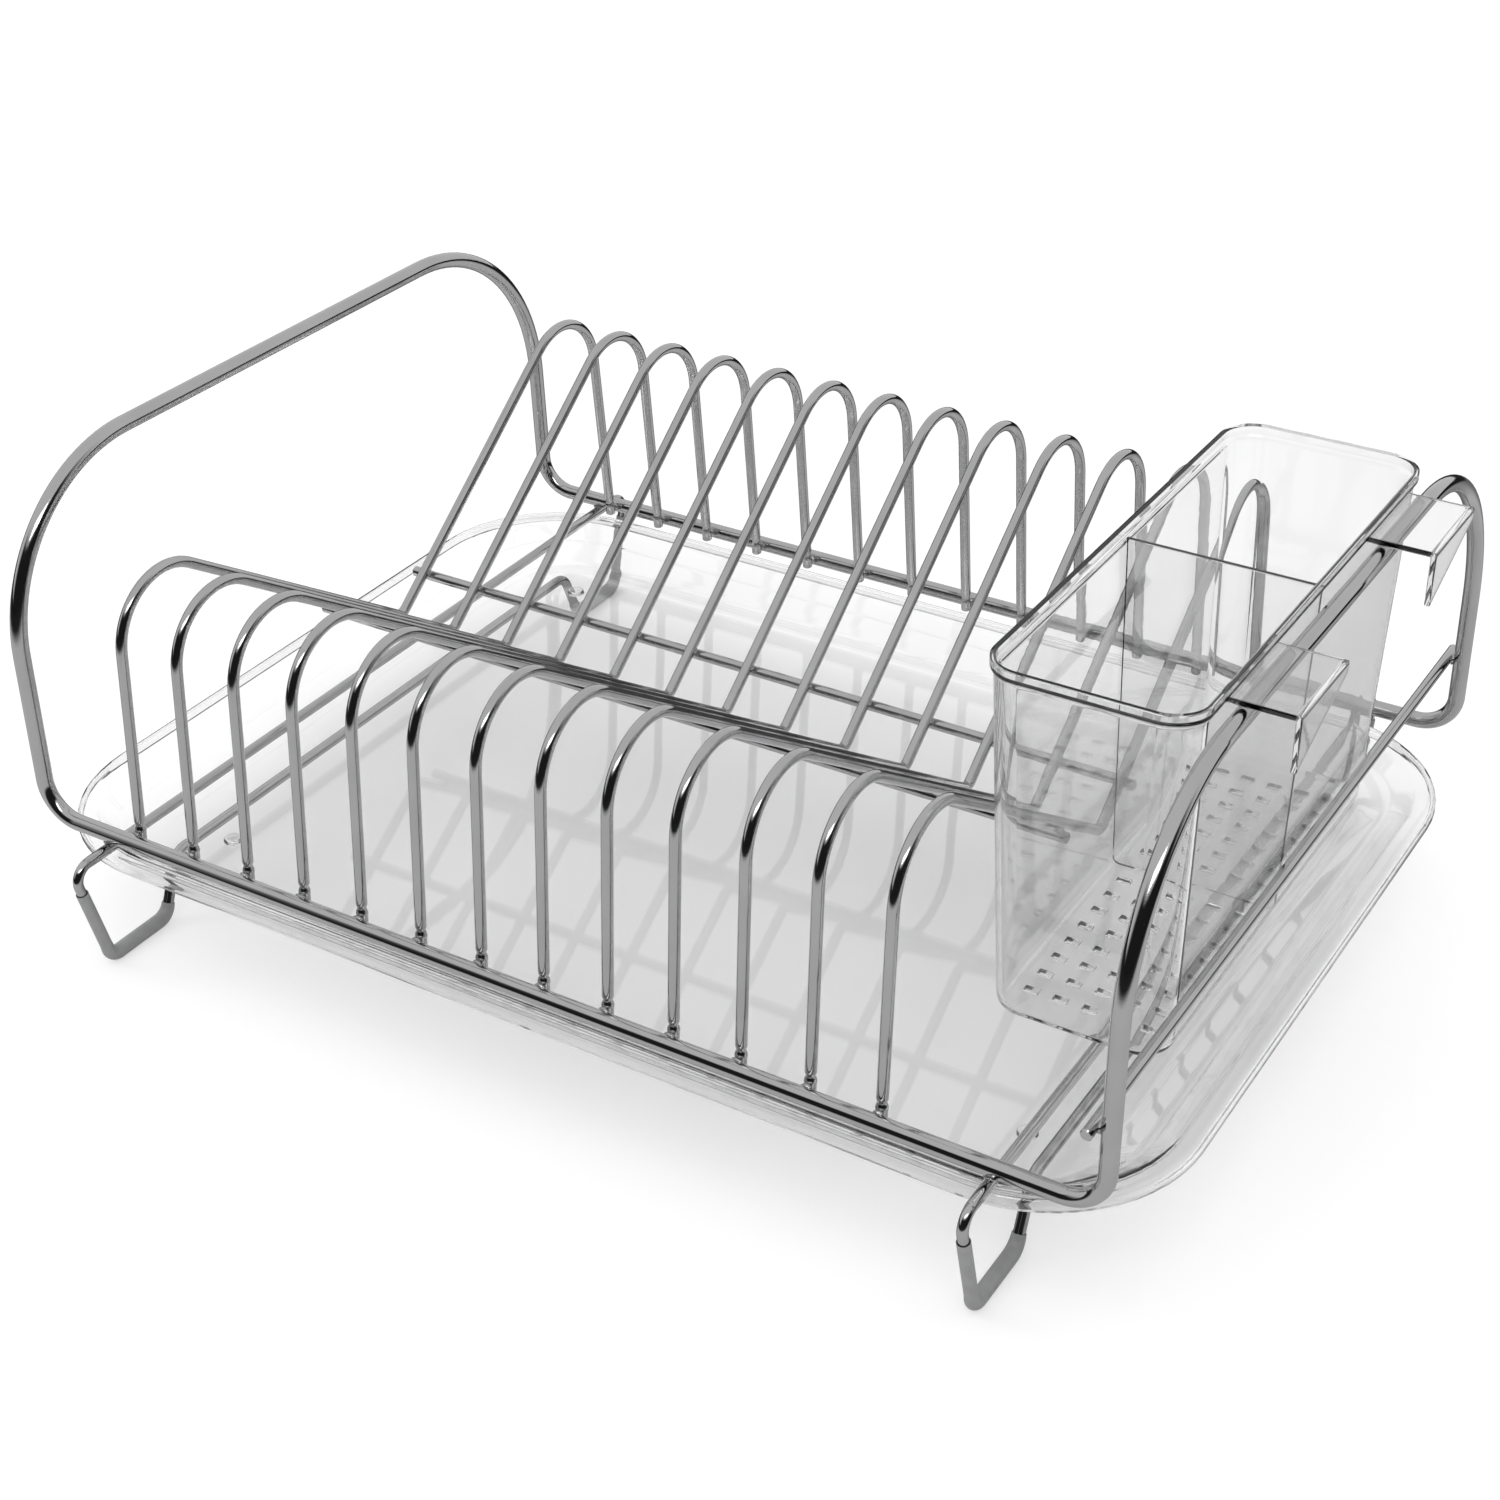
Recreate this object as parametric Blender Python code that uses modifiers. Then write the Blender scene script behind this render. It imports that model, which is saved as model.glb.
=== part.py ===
"""Dish drying rack: bent and welded wire rack, clear drip tray and clear cutlery caddy.

Units are metres and +Z is up. The root empty stands at the centre of the frame's front-rail
line, and every part is modelled in that empty's own space:
  x  across the rack, 0 in the middle between the two end handles
  y  front to back, 0 on the plate wires' front uprights
  z  0 on the axis of the front and back rails
The root empty is placed so that the world origin is on the floor, under the middle of the rack.
"""
import math

import bmesh
import bpy
from mathutils import Vector

# ---------------------------------------------------------------- driving dimensions
PITCH = 0.025                 # spacing of the plate wires
WIRES = 13                    # plate wires
WIRE_SHIFT = -0.019           # the plate wires sit left of centre, to leave room for the caddy
GAP = 0.0003                  # clearance where two pieces are welded or rest on each other

FRAME_R = 0.003               # radius of the frame rod
WIRE_R = 0.002                # radius of every thinner wire

DEPTH = 0.298                 # front uprights to rear uprights of the plate wires
HALF_X = 0.2075               # middle of the rack to an end handle's axis
HANDLE_Z = 0.1275             # top bar of the handles above the rails
HANDLE_REAR_LEAN = 0.005      # how far the rear posts lean in at the top
HANDLE_FRONT_R = 0.063        # bend radii of a handle
HANDLE_REAR_R = 0.074
RAIL_CORNER_R = 0.014

UPRIGHT_TIP_Z = -0.002        # lower end of the plate wires
ARCH = (0.0075, 0.113)        # corner of the front arch (y, z), before its bend
ARCH_R = 0.024
VALLEY = (0.152, 0.0163)      # corner of the V
VALLEY_R = 0.0045
HOOP = (0.2865, 0.1168)       # corner of the rear hoop
HOOP_R = 0.0238

ROD_LEFT = 0.0075             # cross rods stick out past the first and last plate wire
ROD_RIGHT = 0.004
FRONT_ROD_Y = 0.1188          # where each cross rod touches its slope
REAR_ROD_Y = 0.1688

SIDE_RAIL_Z = 0.030
SIDE_RAIL_OVERHANG = 0.006

LEG_X = (-0.179, 0.171)       # the left and right leg rings, centred under the tray
RUN_LOW_Z = -0.0263           # lower run of a leg ring, under the tray
FOOT_TOP_Y = -0.0250          # a front foot's top corner; the rear foot mirrors it
FOOT_TOE = (-0.0140, -0.048)  # the other corners (y, z)
FOOT_HEEL = (0.0150, -0.048)
FOOT_RISE = (0.0240, RUN_LOW_Z)
FOOT_TOP_R = 0.0060
FOOT_TOE_R = 0.0050
FOOT_HEEL_R = 0.0060
FOOT_RISE_R = 0.0080
SLEEVE_R = 0.0030             # outside radius of a foot sleeve
SLEEVE_WALL = 0.0006
SLEEVE_TOP_Z = -0.0155        # where a sleeve ends on the front prong
SLEEVE_HEEL_Z = -0.0430       # where it ends behind the heel

TRAY_X = -0.004               # middle of the tray
TRAY_HALF_X = 0.221
TRAY_HALF_Y = 0.1575
TRAY_WALL = 0.0018
TRAY_FLOOR_Z = RUN_LOW_Z + WIRE_R + GAP
TRAY_RIM_Z = -0.0080          # top of the tray's rim
BOSS_X = 0.1625               # small round bosses on the tray's floor
BOSS_Y = 0.111
BOSS_R = 0.0035

CADDY_RIM = (0.1350, 0.2036, 0.0435, 0.2375)     # x0, x1, y0, y1 of the caddy at its rim
CADDY_FLOOR = (0.1395, 0.1990, 0.0500, 0.2310)   # the same at its floor
CADDY_RIM_Z = 0.1370
CADDY_FLOOR_Z = 0.0100
CADDY_CORNER_R = 0.0115
CADDY_WALL = 0.0018
DIVIDER_Y = 0.1440
DIVIDER_TOP_Z = 0.1330
HOOK_EDGES = ((0.0680, 0.1055), (0.1820, 0.2195))   # front and back edge of each hook tab
HOOK_REACH_X = 0.2250
HOOK_PLATE = 0.0020
HOOK_DROP = 0.0190
HOLE_PITCH = 0.0100
HOLE_SIZE = (0.0050, 0.0028)
HOLE_COLUMNS = 5

FLOOR_TO_RAIL = 0.048 + SLEEVE_R * math.cos(math.pi / 8)

COLORS = {
    "chrome": ((0.62, 0.62, 0.63), 0.12, 1.0),
    "vinyl": ((0.42, 0.43, 0.44), 0.55, 0.0),
    "clear": ((0.86, 0.87, 0.87), 0.08, 0.0),
}


# ---------------------------------------------------------------- scene
for old in list(bpy.data.objects):
    bpy.data.objects.remove(old, do_unlink=True)

parts = bpy.data.collections.new("dish_drying_rack")
cutters = bpy.data.collections.new("cutters")
bpy.context.scene.collection.children.link(parts)
bpy.context.scene.collection.children.link(cutters)
cutters.hide_render = True


def empty(name, location, parent=None):
    obj = bpy.data.objects.new(name, None)
    obj.location = location
    obj.empty_display_size = 0.02
    obj.parent = parent
    parts.objects.link(obj)
    return obj


root = empty("rack_origin", (0.0, -DEPTH / 2, FLOOR_TO_RAIL))
tray_slide = empty("tray_slide", (TRAY_X, DEPTH / 2, TRAY_FLOOR_Z), root)
caddy_lift = empty("caddy_lift", (HALF_X, DEPTH / 2, HANDLE_Z), root)
bpy.context.view_layer.update()


def material(name, kind):
    color, roughness, metallic = COLORS[kind]
    mat = bpy.data.materials.new(name)
    mat.use_nodes = True
    shader = mat.node_tree.nodes["Principled BSDF"]
    shader.inputs["Base Color"].default_value = (*color, 1.0)
    shader.inputs["Roughness"].default_value = roughness
    shader.inputs["Metallic"].default_value = metallic
    if kind == "clear":
        shader.inputs["Transmission Weight"].default_value = 0.9
        shader.inputs["IOR"].default_value = 1.57
    mat.diffuse_color = (*color, 1.0)
    return mat


# ---------------------------------------------------------------- wire parts
def bend(points, radii, steps, closed=False):
    """Points along a bent wire: straight runs between corners, an arc at each corner.

    radii and steps hold one value for each corner: each point if closed, otherwise each
    point but the first and the last.
    """
    points = [Vector(p) for p in points]
    count = len(points)
    corners = range(count) if closed else range(1, count - 1)
    path = [] if closed else [points[0]]
    for i, radius, n in zip(corners, radii, steps):
        corner = points[i]
        back = (points[i - 1] - corner).normalized()
        ahead = (points[(i + 1) % count] - corner).normalized()
        half = back.angle(ahead) / 2
        start = corner + back * (radius / math.tan(half))
        middle = corner + (back + ahead).normalized() * (radius / math.sin(half))
        arm = start - middle
        normal = back.cross(ahead).normalized()
        side = arm.cross(normal)
        turn = math.pi - 2 * half
        sign = 1.0 if side.dot(back) < 0 else -1.0
        for k in range(n + 1):
            a = turn * k / n
            path.append(middle + arm * math.cos(a) + side * (sign * math.sin(a)))
    if not closed:
        path.append(points[-1])
    return path


def wire(name, path, radius, kind="chrome", closed=False, capped=True, flat_down=False):
    """A tube along the path; flat_down turns its eight sides so that one faces the floor."""
    curve = bpy.data.curves.new(name, "CURVE")
    curve.dimensions = "3D"
    curve.bevel_depth = radius
    curve.bevel_resolution = 2
    curve.use_fill_caps = capped and not closed
    spline = curve.splines.new("POLY")
    spline.points.add(len(path) - 1)
    for point, co in zip(spline.points, path):
        point.co = (*co, 1.0)
        point.tilt = math.pi / 8 if flat_down else 0.0
    spline.use_cyclic_u = closed
    curve.materials.append(material(name, kind))
    obj = bpy.data.objects.new(name, curve)
    obj.parent = root
    parts.objects.link(obj)
    return obj


RAIL_OFFSET = FRAME_R + WIRE_R + GAP       # axis to axis where a 4 mm wire meets the frame rod
FRONT_RAIL_Y = -RAIL_OFFSET
BACK_RAIL_Y = DEPTH + RAIL_OFFSET


def frame_loop():
    corners = []
    radii = []
    steps = []
    rear_top = BACK_RAIL_Y - HANDLE_REAR_LEAN
    for side in (1, -1):
        x = side * HALF_X
        run = [
            ((x, FRONT_RAIL_Y, 0.0), RAIL_CORNER_R, 4),
            ((x, FRONT_RAIL_Y, HANDLE_Z), HANDLE_FRONT_R, 8),
            ((x, rear_top, HANDLE_Z), HANDLE_REAR_R, 8),
            ((x, BACK_RAIL_Y, 0.0), RAIL_CORNER_R, 4),
        ]
        for corner, radius, n in run[::side]:
            corners.append(corner)
            radii.append(radius)
            steps.append(n)
    return wire("frame_loop", bend(corners, radii, steps, closed=True), FRAME_R, closed=True)


def plate_wire_path(x):
    profile = [(0.0, UPRIGHT_TIP_Z), ARCH, VALLEY, HOOP, (DEPTH, UPRIGHT_TIP_Z)]
    points = [(x, y, z) for y, z in profile]
    return bend(points, (ARCH_R, VALLEY_R, HOOP_R), (6, 3, 6))


def slope_rod(name, a, b, y):
    """A cross rod hanging under the slope that runs from corner a to corner b."""
    run = Vector((0.0, b[0] - a[0], b[1] - a[1])).normalized()
    down = Vector((0.0, run.z, -run.y))
    if down.z > 0:
        down.negate()
    z = a[1] + (y - a[0]) * run.z / run.y
    axis = Vector((0.0, y, z)) + down * (2 * WIRE_R + GAP)
    x0 = WIRE_SHIFT - PITCH * (WIRES // 2) - ROD_LEFT
    x1 = WIRE_SHIFT + PITCH * (WIRES // 2) + ROD_RIGHT
    return wire(name, [(x0, axis.y, axis.z), (x1, axis.y, axis.z)], WIRE_R)


def foot_corners(x, rear):
    corners = [(FOOT_TOP_Y, -RAIL_OFFSET), FOOT_TOE, FOOT_HEEL, FOOT_RISE]
    if rear:
        corners = [(DEPTH - y, z) for y, z in reversed(corners)]
    return [Vector((x, y, z)) for y, z in corners]


FOOT_RADII = (FOOT_TOP_R, FOOT_TOE_R, FOOT_HEEL_R, FOOT_RISE_R)
FOOT_STEPS = (5, 4, 4, 4)


def leg_ring(name, x):
    corners = foot_corners(x, False) + foot_corners(x, True)
    radii = FOOT_RADII + FOOT_RADII[::-1]
    steps = FOOT_STEPS + FOOT_STEPS[::-1]
    path = bend(corners, radii, steps, closed=True)
    return wire(name, path, WIRE_R, closed=True, flat_down=True)


def foot_sleeve(name, x, rear):
    """A hollow vinyl sleeve round a foot's toe and heel."""
    corners = foot_corners(x, rear)
    if rear:
        corners.reverse()
    top, toe, heel, rise = corners
    start = toe.lerp(top, (SLEEVE_TOP_Z - toe.z) / (top.z - toe.z))
    end = heel.lerp(rise, (SLEEVE_HEEL_Z - heel.z) / (rise.z - heel.z))
    path = bend([start, toe, heel, end], FOOT_RADII[1:3], FOOT_STEPS[1:3])
    sleeve = wire(name, path, SLEEVE_R, "vinyl", capped=False, flat_down=True)
    skin = sleeve.modifiers.new("wall", "SOLIDIFY")
    skin.thickness = SLEEVE_WALL
    skin.offset = -1.0
    return sleeve


frame_loop()
for i in range(WIRES):
    x = WIRE_SHIFT + (i - WIRES // 2) * PITCH
    wire(f"plate_wire_{i + 1:02d}", plate_wire_path(x), WIRE_R)
slope_rod("front_slope_rod", ARCH, VALLEY, FRONT_ROD_Y)
slope_rod("rear_slope_rod", VALLEY, HOOP, REAR_ROD_Y)

side_x = HALF_X - RAIL_OFFSET
side_y = (FRONT_RAIL_Y - SIDE_RAIL_OVERHANG, BACK_RAIL_Y + SIDE_RAIL_OVERHANG)
wire("right_side_rail", [(side_x, y, SIDE_RAIL_Z) for y in side_y], WIRE_R)

for side, x in zip(("left", "right"), LEG_X):
    leg_ring(f"{side}_leg_ring", x)
    for end in ("front", "rear"):
        foot_sleeve(f"foot_sleeve_{end}_{side}", x, end == "rear")


# ---------------------------------------------------------------- moulded parts
def rounded_ring(bm, box, radius, z, per_corner):
    """One closed ring of vertices on a rounded rectangle, counter-clockwise from above."""
    x0, x1, y0, y1 = box
    centres = [(x1 - radius, y1 - radius), (x0 + radius, y1 - radius)]
    centres += [(x0 + radius, y0 + radius), (x1 - radius, y0 + radius)]
    ring = []
    for quarter, (cx, cy) in enumerate(centres):
        for k in range(per_corner + 1):
            a = math.pi / 2 * (quarter + k / per_corner)
            ring.append(bm.verts.new((cx + radius * math.cos(a), cy + radius * math.sin(a), z)))
    return ring


def moulded_shell(name, rings, per_corner, wall, parent):
    """An open pan lofted from its floor up through rounded-rectangle rings, then thickened."""
    bm = bmesh.new()
    loops = [rounded_ring(bm, box, radius, z, per_corner) for box, radius, z in rings]
    for low, high in reversed(list(zip(loops, loops[1:]))):
        for k in range(len(low)):
            n = (k + 1) % len(low)
            bm.faces.new((low[k], low[n], high[n], high[k]))
    floor = bm.faces.new(loops[0])
    bmesh.ops.recalc_face_normals(bm, faces=bm.faces)
    if floor.normal.z < 0:
        bmesh.ops.reverse_faces(bm, faces=bm.faces)
    mesh = bpy.data.meshes.new(name)
    bm.to_mesh(mesh)
    bm.free()
    obj = bpy.data.objects.new(name, mesh)
    obj.parent = parent
    parts.objects.link(obj)
    mesh.materials.append(material(name, "clear"))
    skin = obj.modifiers.new("wall", "SOLIDIFY")
    skin.thickness = wall
    skin.offset = 1.0
    skin.use_even_offset = True
    obj.modifiers.new("flat_faces", "TRIANGULATE")
    return obj


def inset_box(box, dx, dy):
    return (box[0] + dx, box[1] - dx, box[2] + dy, box[3] - dy)


def tool(name, build, parent):
    """A closed cutter or filler, kept out of the render."""
    bm = bmesh.new()
    build(bm)
    bmesh.ops.recalc_face_normals(bm, faces=bm.faces)
    mesh = bpy.data.meshes.new(name)
    bm.to_mesh(mesh)
    bm.free()
    obj = bpy.data.objects.new(name, mesh)
    obj.parent = parent
    obj.hide_render = True
    obj.display_type = "WIRE"
    cutters.objects.link(obj)
    return obj


def add_box(bm, low, high):
    made = bmesh.ops.create_cube(bm, size=1.0)
    size = [b - a for a, b in zip(low, high)]
    centre = [(a + b) / 2 for a, b in zip(low, high)]
    bmesh.ops.scale(bm, vec=size, verts=made["verts"])
    bmesh.ops.translate(bm, vec=centre, verts=made["verts"])


def combine(obj, tools, operation, solver="EXACT"):
    for other in tools:
        step = obj.modifiers.new(other.name, "BOOLEAN")
        step.operation = operation
        step.solver = solver
        step.object = other
        obj.modifiers.new(f"{other.name}_faces", "TRIANGULATE")


def drip_tray():
    rim = (-TRAY_HALF_X, TRAY_HALF_X, -TRAY_HALF_Y, TRAY_HALF_Y)
    low = 0.0
    top = TRAY_RIM_Z - TRAY_FLOOR_Z - TRAY_WALL
    levels = [
        (0.0330, 0.0240, low, 0.026),
        (0.0290, 0.0200, low + 0.0012, 0.030),
        (0.0250, 0.0170, low + 0.0035, 0.034),
        (0.0080, 0.0070, top - 0.0012, 0.048),
        (0.0060, 0.0055, top, 0.050),
        (0.0018, 0.0018, top, 0.053),
        (0.0018, 0.0018, top - 0.0035, 0.053),
    ]
    rings = [(inset_box(rim, dx, dy), radius, z) for dx, dy, z, radius in levels]
    tray = moulded_shell("drip_tray", rings, 6, TRAY_WALL, tray_slide)

    def bosses(sx, sy):
        def build(bm):
            made = bmesh.ops.create_cone(
                bm, cap_ends=True, segments=16, radius1=BOSS_R, radius2=BOSS_R * 0.85, depth=0.0030
            )
            place = (sx * BOSS_X - TRAY_X, sy * BOSS_Y, TRAY_WALL + 0.0009)
            bmesh.ops.translate(bm, vec=place, verts=made["verts"])
        return build

    tools = []
    for sx in (-1, 1):
        for sy in (-1, 1):
            tools.append(tool(f"tray_boss_{len(tools) + 1}", bosses(sx, sy), tray_slide))
    combine(tray, tools, "UNION")
    return tray


def cutlery_caddy():
    def local(box):
        return (box[0] - HALF_X, box[1] - HALF_X, box[2] - DEPTH / 2, box[3] - DEPTH / 2)

    rim = local(CADDY_RIM)
    base = local(CADDY_FLOOR)
    rim_z = CADDY_RIM_Z - HANDLE_Z
    floor_z = CADDY_FLOOR_Z - HANDLE_Z
    bead = 0.0012
    shoulder = inset_box(rim, bead, bead)
    levels = [
        (inset_box(base, 0.0030, 0.0030), CADDY_CORNER_R - 0.0030, floor_z),
        (base, CADDY_CORNER_R, floor_z + 0.0040),
        (shoulder, CADDY_CORNER_R, rim_z - 0.0050),
        (rim, CADDY_CORNER_R + bead, rim_z - 0.0040),
        (rim, CADDY_CORNER_R + bead, rim_z),
    ]
    caddy = moulded_shell("cutlery_caddy", levels, 6, CADDY_WALL, caddy_lift)

    divider_y = DIVIDER_Y - DEPTH / 2
    half = CADDY_WALL / 2

    def divider(bm):
        # The divider's edge runs inside the wall all the way round, from the floor to the rim.
        edge = [
            (base[0] + 0.0034, base[1] - 0.0034, floor_z + 0.0009),
            (base[0] + half, base[1] - half, floor_z + 0.0045),
            (shoulder[0] + half, shoulder[1] - half, rim_z - 0.0050),
            (rim[0] + half, rim[1] - half, DIVIDER_TOP_Z - HANDLE_Z),
        ]
        outline = [(x, z) for x, _, z in edge] + [(x, z) for _, x, z in reversed(edge)]
        front = [bm.verts.new((x, divider_y - half, z)) for x, z in outline]
        back = [bm.verts.new((x, divider_y + half, z)) for x, z in outline]
        bm.faces.new(front)
        bm.faces.new(back[::-1])
        for k in range(len(front)):
            n = (k + 1) % len(front)
            bm.faces.new((front[k], front[n], back[n], back[k]))

    def hook(y0, y1):
        def build(bm):
            under = FRAME_R + GAP
            over = under + HOOK_PLATE
            x0 = rim[1] - bead - half / 2
            x1 = HOOK_REACH_X - HALF_X
            outline = [(x0, under), (x1 - HOOK_PLATE, under), (x1 - HOOK_PLATE, over - HOOK_DROP)]
            outline += [(x1, over - HOOK_DROP), (x1, over), (x0, over)]
            near = [bm.verts.new((x, y0 - DEPTH / 2, z)) for x, z in outline]
            far = []
            for x, z in outline:
                # The flap is deepest at its near edge and runs out to nothing at the far one.
                tail = max(z, under - 0.0020)
                far.append(bm.verts.new((x, y1 - DEPTH / 2, tail)))
            bm.faces.new(near)
            bm.faces.new(far[::-1])
            for k in range(len(near)):
                n = (k + 1) % len(near)
                bm.faces.new((near[k], near[n], far[n], far[k]))
            bmesh.ops.triangulate(bm, faces=bm.faces)
        return build

    def holes(bm):
        width = base[1] - base[0]
        length = base[3] - base[2]
        rows = int((length - 0.030) / HOLE_PITCH) + 1
        for i in range(HOLE_COLUMNS):
            x = base[0] + width / 2 + (i - (HOLE_COLUMNS - 1) / 2) * HOLE_PITCH
            for j in range(rows):
                y = base[2] + length / 2 + (j - (rows - 1) / 2) * HOLE_PITCH
                if abs(y - divider_y) < HOLE_SIZE[1] + half:
                    continue
                dx, dy = HOLE_SIZE[0] / 2, HOLE_SIZE[1] / 2
                add_box(bm, (x - dx, y - dy, floor_z - 0.002), (x + dx, y + dy, floor_z + 0.004))

    hooks = []
    for k, (y0, y1) in enumerate(HOOK_EDGES):
        hooks.append(tool(f"caddy_hook_{k + 1}", hook(y0, y1), caddy_lift))
    combine(caddy, hooks, "UNION", "MANIFOLD")
    combine(caddy, [tool("caddy_divider", divider, caddy_lift)], "UNION")
    combine(caddy, [tool("caddy_holes", holes, caddy_lift)], "DIFFERENCE")
    merge = caddy.modifiers.new("merge_flat_faces", "DECIMATE")
    merge.decimate_type = "DISSOLVE"
    merge.angle_limit = math.radians(0.05)
    caddy.modifiers.new("caddy_faces", "TRIANGULATE")
    return caddy


drip_tray()
cutlery_caddy()
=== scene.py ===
"""Looks for the dish drying rack: bright wire rack, clear drip tray and clear cutlery caddy.

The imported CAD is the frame. Every rod, sleeve and moulding is made again here as a smooth mesh
in the same place, and rides on the same body. Units are metres and +Z is up.

Rack space, as in the part's source, has x = 0 in the middle between the end handles, y = 0 on the
plate wires' front uprights and z = 0 on the axis of the rails; RACK_ORIGIN is its place here.
"""
import math

import bmesh
import bpy
from mathutils import Matrix, Vector, noise


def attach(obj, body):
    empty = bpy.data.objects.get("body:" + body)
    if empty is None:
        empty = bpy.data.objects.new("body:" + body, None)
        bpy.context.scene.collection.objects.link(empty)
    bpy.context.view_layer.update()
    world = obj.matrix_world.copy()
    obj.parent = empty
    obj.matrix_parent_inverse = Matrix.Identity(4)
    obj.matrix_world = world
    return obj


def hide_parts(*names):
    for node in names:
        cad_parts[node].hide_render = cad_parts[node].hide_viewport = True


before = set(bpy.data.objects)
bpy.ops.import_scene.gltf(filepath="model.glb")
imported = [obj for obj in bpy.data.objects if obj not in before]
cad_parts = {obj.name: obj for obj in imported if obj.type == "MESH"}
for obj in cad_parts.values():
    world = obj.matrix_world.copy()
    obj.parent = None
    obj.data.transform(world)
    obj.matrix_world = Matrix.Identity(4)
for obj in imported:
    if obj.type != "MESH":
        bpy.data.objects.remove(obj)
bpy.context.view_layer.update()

# ---------------------------------------------------------------- driving dimensions
PITCH = 0.025
WIRES = 13
WIRE_SHIFT = -0.019
GAP = 0.0003
FRAME_R = 0.003
WIRE_R = 0.002
DEPTH = 0.298
HALF_X = 0.2075
HANDLE_Z = 0.1275
HANDLE_REAR_LEAN = 0.005
HANDLE_FRONT_R = 0.063
HANDLE_REAR_R = 0.074
RAIL_CORNER_R = 0.014
RAIL_OFFSET = FRAME_R + WIRE_R + GAP
FRONT_RAIL_Y = -RAIL_OFFSET
BACK_RAIL_Y = DEPTH + RAIL_OFFSET

UPRIGHT_TIP_Z = -0.002
ARCH = (0.0075, 0.113)
ARCH_R = 0.024
VALLEY = (0.152, 0.0163)
VALLEY_R = 0.0045
HOOP = (0.2865, 0.1168)
HOOP_R = 0.0238
ROD_LEFT = 0.0075
ROD_RIGHT = 0.004
FRONT_ROD_Y = 0.1188
REAR_ROD_Y = 0.1688
SIDE_RAIL_Z = 0.030
SIDE_RAIL_OVERHANG = 0.006

LEG_X = (-0.179, 0.171)
RUN_LOW_Z = -0.0263
FOOT_TOP = (-0.0250, -RAIL_OFFSET)
FOOT_DEPTH = 0.048
FOOT_TOE = (-0.0140, -FOOT_DEPTH)
FOOT_HEEL = (0.0150, -FOOT_DEPTH)
FOOT_RISE = (0.0240, RUN_LOW_Z)
FOOT_RADII = (0.0060, 0.0050, 0.0060, 0.0080)
SLEEVE_R = 0.003
FLAT_SHARE = math.cos(math.pi / 8)      # of the radius of a tube with eight sides
FOOT_OUTSIDE_R = WIRE_R * FLAT_SHARE - 0.00001      # the wire thins on a foot's top bend
SLEEVE_SOLE_R = SLEEVE_R * FLAT_SHARE
SLEEVE_END_R = 0.00228
SLEEVE_TOP_Z = -0.0155
SLEEVE_HEEL_Z = -0.0430

TRAY_X = -0.004
TRAY_HALF_X = 0.221
TRAY_HALF_Y = 0.1575
TRAY_WALL = 0.0018
TRAY_FLOOR_Z = RUN_LOW_Z + WIRE_R + GAP
TRAY_RIM_Z = -0.0080
BOSS_X = 0.1625
BOSS_Y = 0.111
BOSS_R = 0.0035

CADDY_RIM = (0.1350, 0.2036, 0.0435, 0.2375)
CADDY_FLOOR = (0.1395, 0.1990, 0.0500, 0.2310)
CADDY_RIM_Z = 0.1370
CADDY_FLOOR_Z = 0.0100
CADDY_CORNER_R = 0.0115
CADDY_WALL = 0.0018
CADDY_BEAD = 0.0012
DIVIDER_Y = 0.1440
DIVIDER_TOP_Z = 0.1330
HOOK_EDGES = ((0.0680, 0.1055), (0.1820, 0.2195))
HOOK_REACH_X = 0.2250
HOOK_PLATE = 0.0020
HOOK_DROP = 0.0190
HOLE_PITCH = 0.0100
HOLE_SIZE = (0.0050, 0.0028)
HOLE_COLUMNS = 5

FLOOR_TO_RAIL = FOOT_DEPTH + SLEEVE_SOLE_R
RACK_ORIGIN = Vector((0.0, -DEPTH / 2, FLOOR_TO_RAIL))


# ---------------------------------------------------------------- node helpers
def place(tree, kind, **values):
    """A node with its properties and plain input values set."""
    node = tree.nodes.new(kind)
    for name, value in values.items():
        if name in node.inputs:
            node.inputs[name].default_value = value
        else:
            setattr(node, name, value)
    return node


def join(tree, source, target):
    tree.links.new(source, target)


def group(name, inputs, outputs):
    """A shader node group with float inputs {name: default} and outputs {name: socket type}."""
    tree = bpy.data.node_groups.new(name, "ShaderNodeTree")
    for label, default in inputs.items():
        socket = tree.interface.new_socket(label, in_out="INPUT", socket_type="NodeSocketFloat")
        socket.default_value = default
    for label, kind in outputs.items():
        tree.interface.new_socket(label, in_out="OUTPUT", socket_type=kind)
    return tree, tree.nodes.new("NodeGroupInput"), tree.nodes.new("NodeGroupOutput")


def feed(tree, value, target):
    """Gives a node's input a plain value, or a link where the value is an output socket."""
    if isinstance(value, bpy.types.NodeSocket):
        join(tree, value, target)
    else:
        target.default_value = value


def maths(tree, operation, first, second):
    """A Math node's result; each operand is an output socket or a number."""
    node = place(tree, "ShaderNodeMath", operation=operation)
    for socket, value in zip(node.inputs, (first, second)):
        feed(tree, value, socket)
    return node.outputs["Value"]


def remap(tree, value, given, wanted, interpolation_type="SMOOTHSTEP"):
    """A Map Range node's result: the value taken from the given limits to the wanted ones."""
    node = place(tree, "ShaderNodeMapRange", interpolation_type=interpolation_type)
    join(tree, value, node.inputs["Value"])
    labels = ("From Min", "From Max", "To Min", "To Max")
    for label, limit in zip(labels, (*given, *wanted)):
        feed(tree, limit, node.inputs[label])
    return node.outputs["Result"]


def mix_colours(tree, share, first, second, blend_type="MIX"):
    """A colour Mix node's result; each part is an output socket or a value."""
    node = place(tree, "ShaderNodeMix", data_type="RGBA", blend_type=blend_type)
    for index, value in ((0, share), (6, first), (7, second)):
        feed(tree, value, node.inputs[index])
    return node.outputs[2]


def mix_shaders(tree, share, first, second):
    node = place(tree, "ShaderNodeMixShader")
    for socket, source in zip(node.inputs, (share, first, second)):
        join(tree, source, socket)
    return node.outputs["Shader"]


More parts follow.
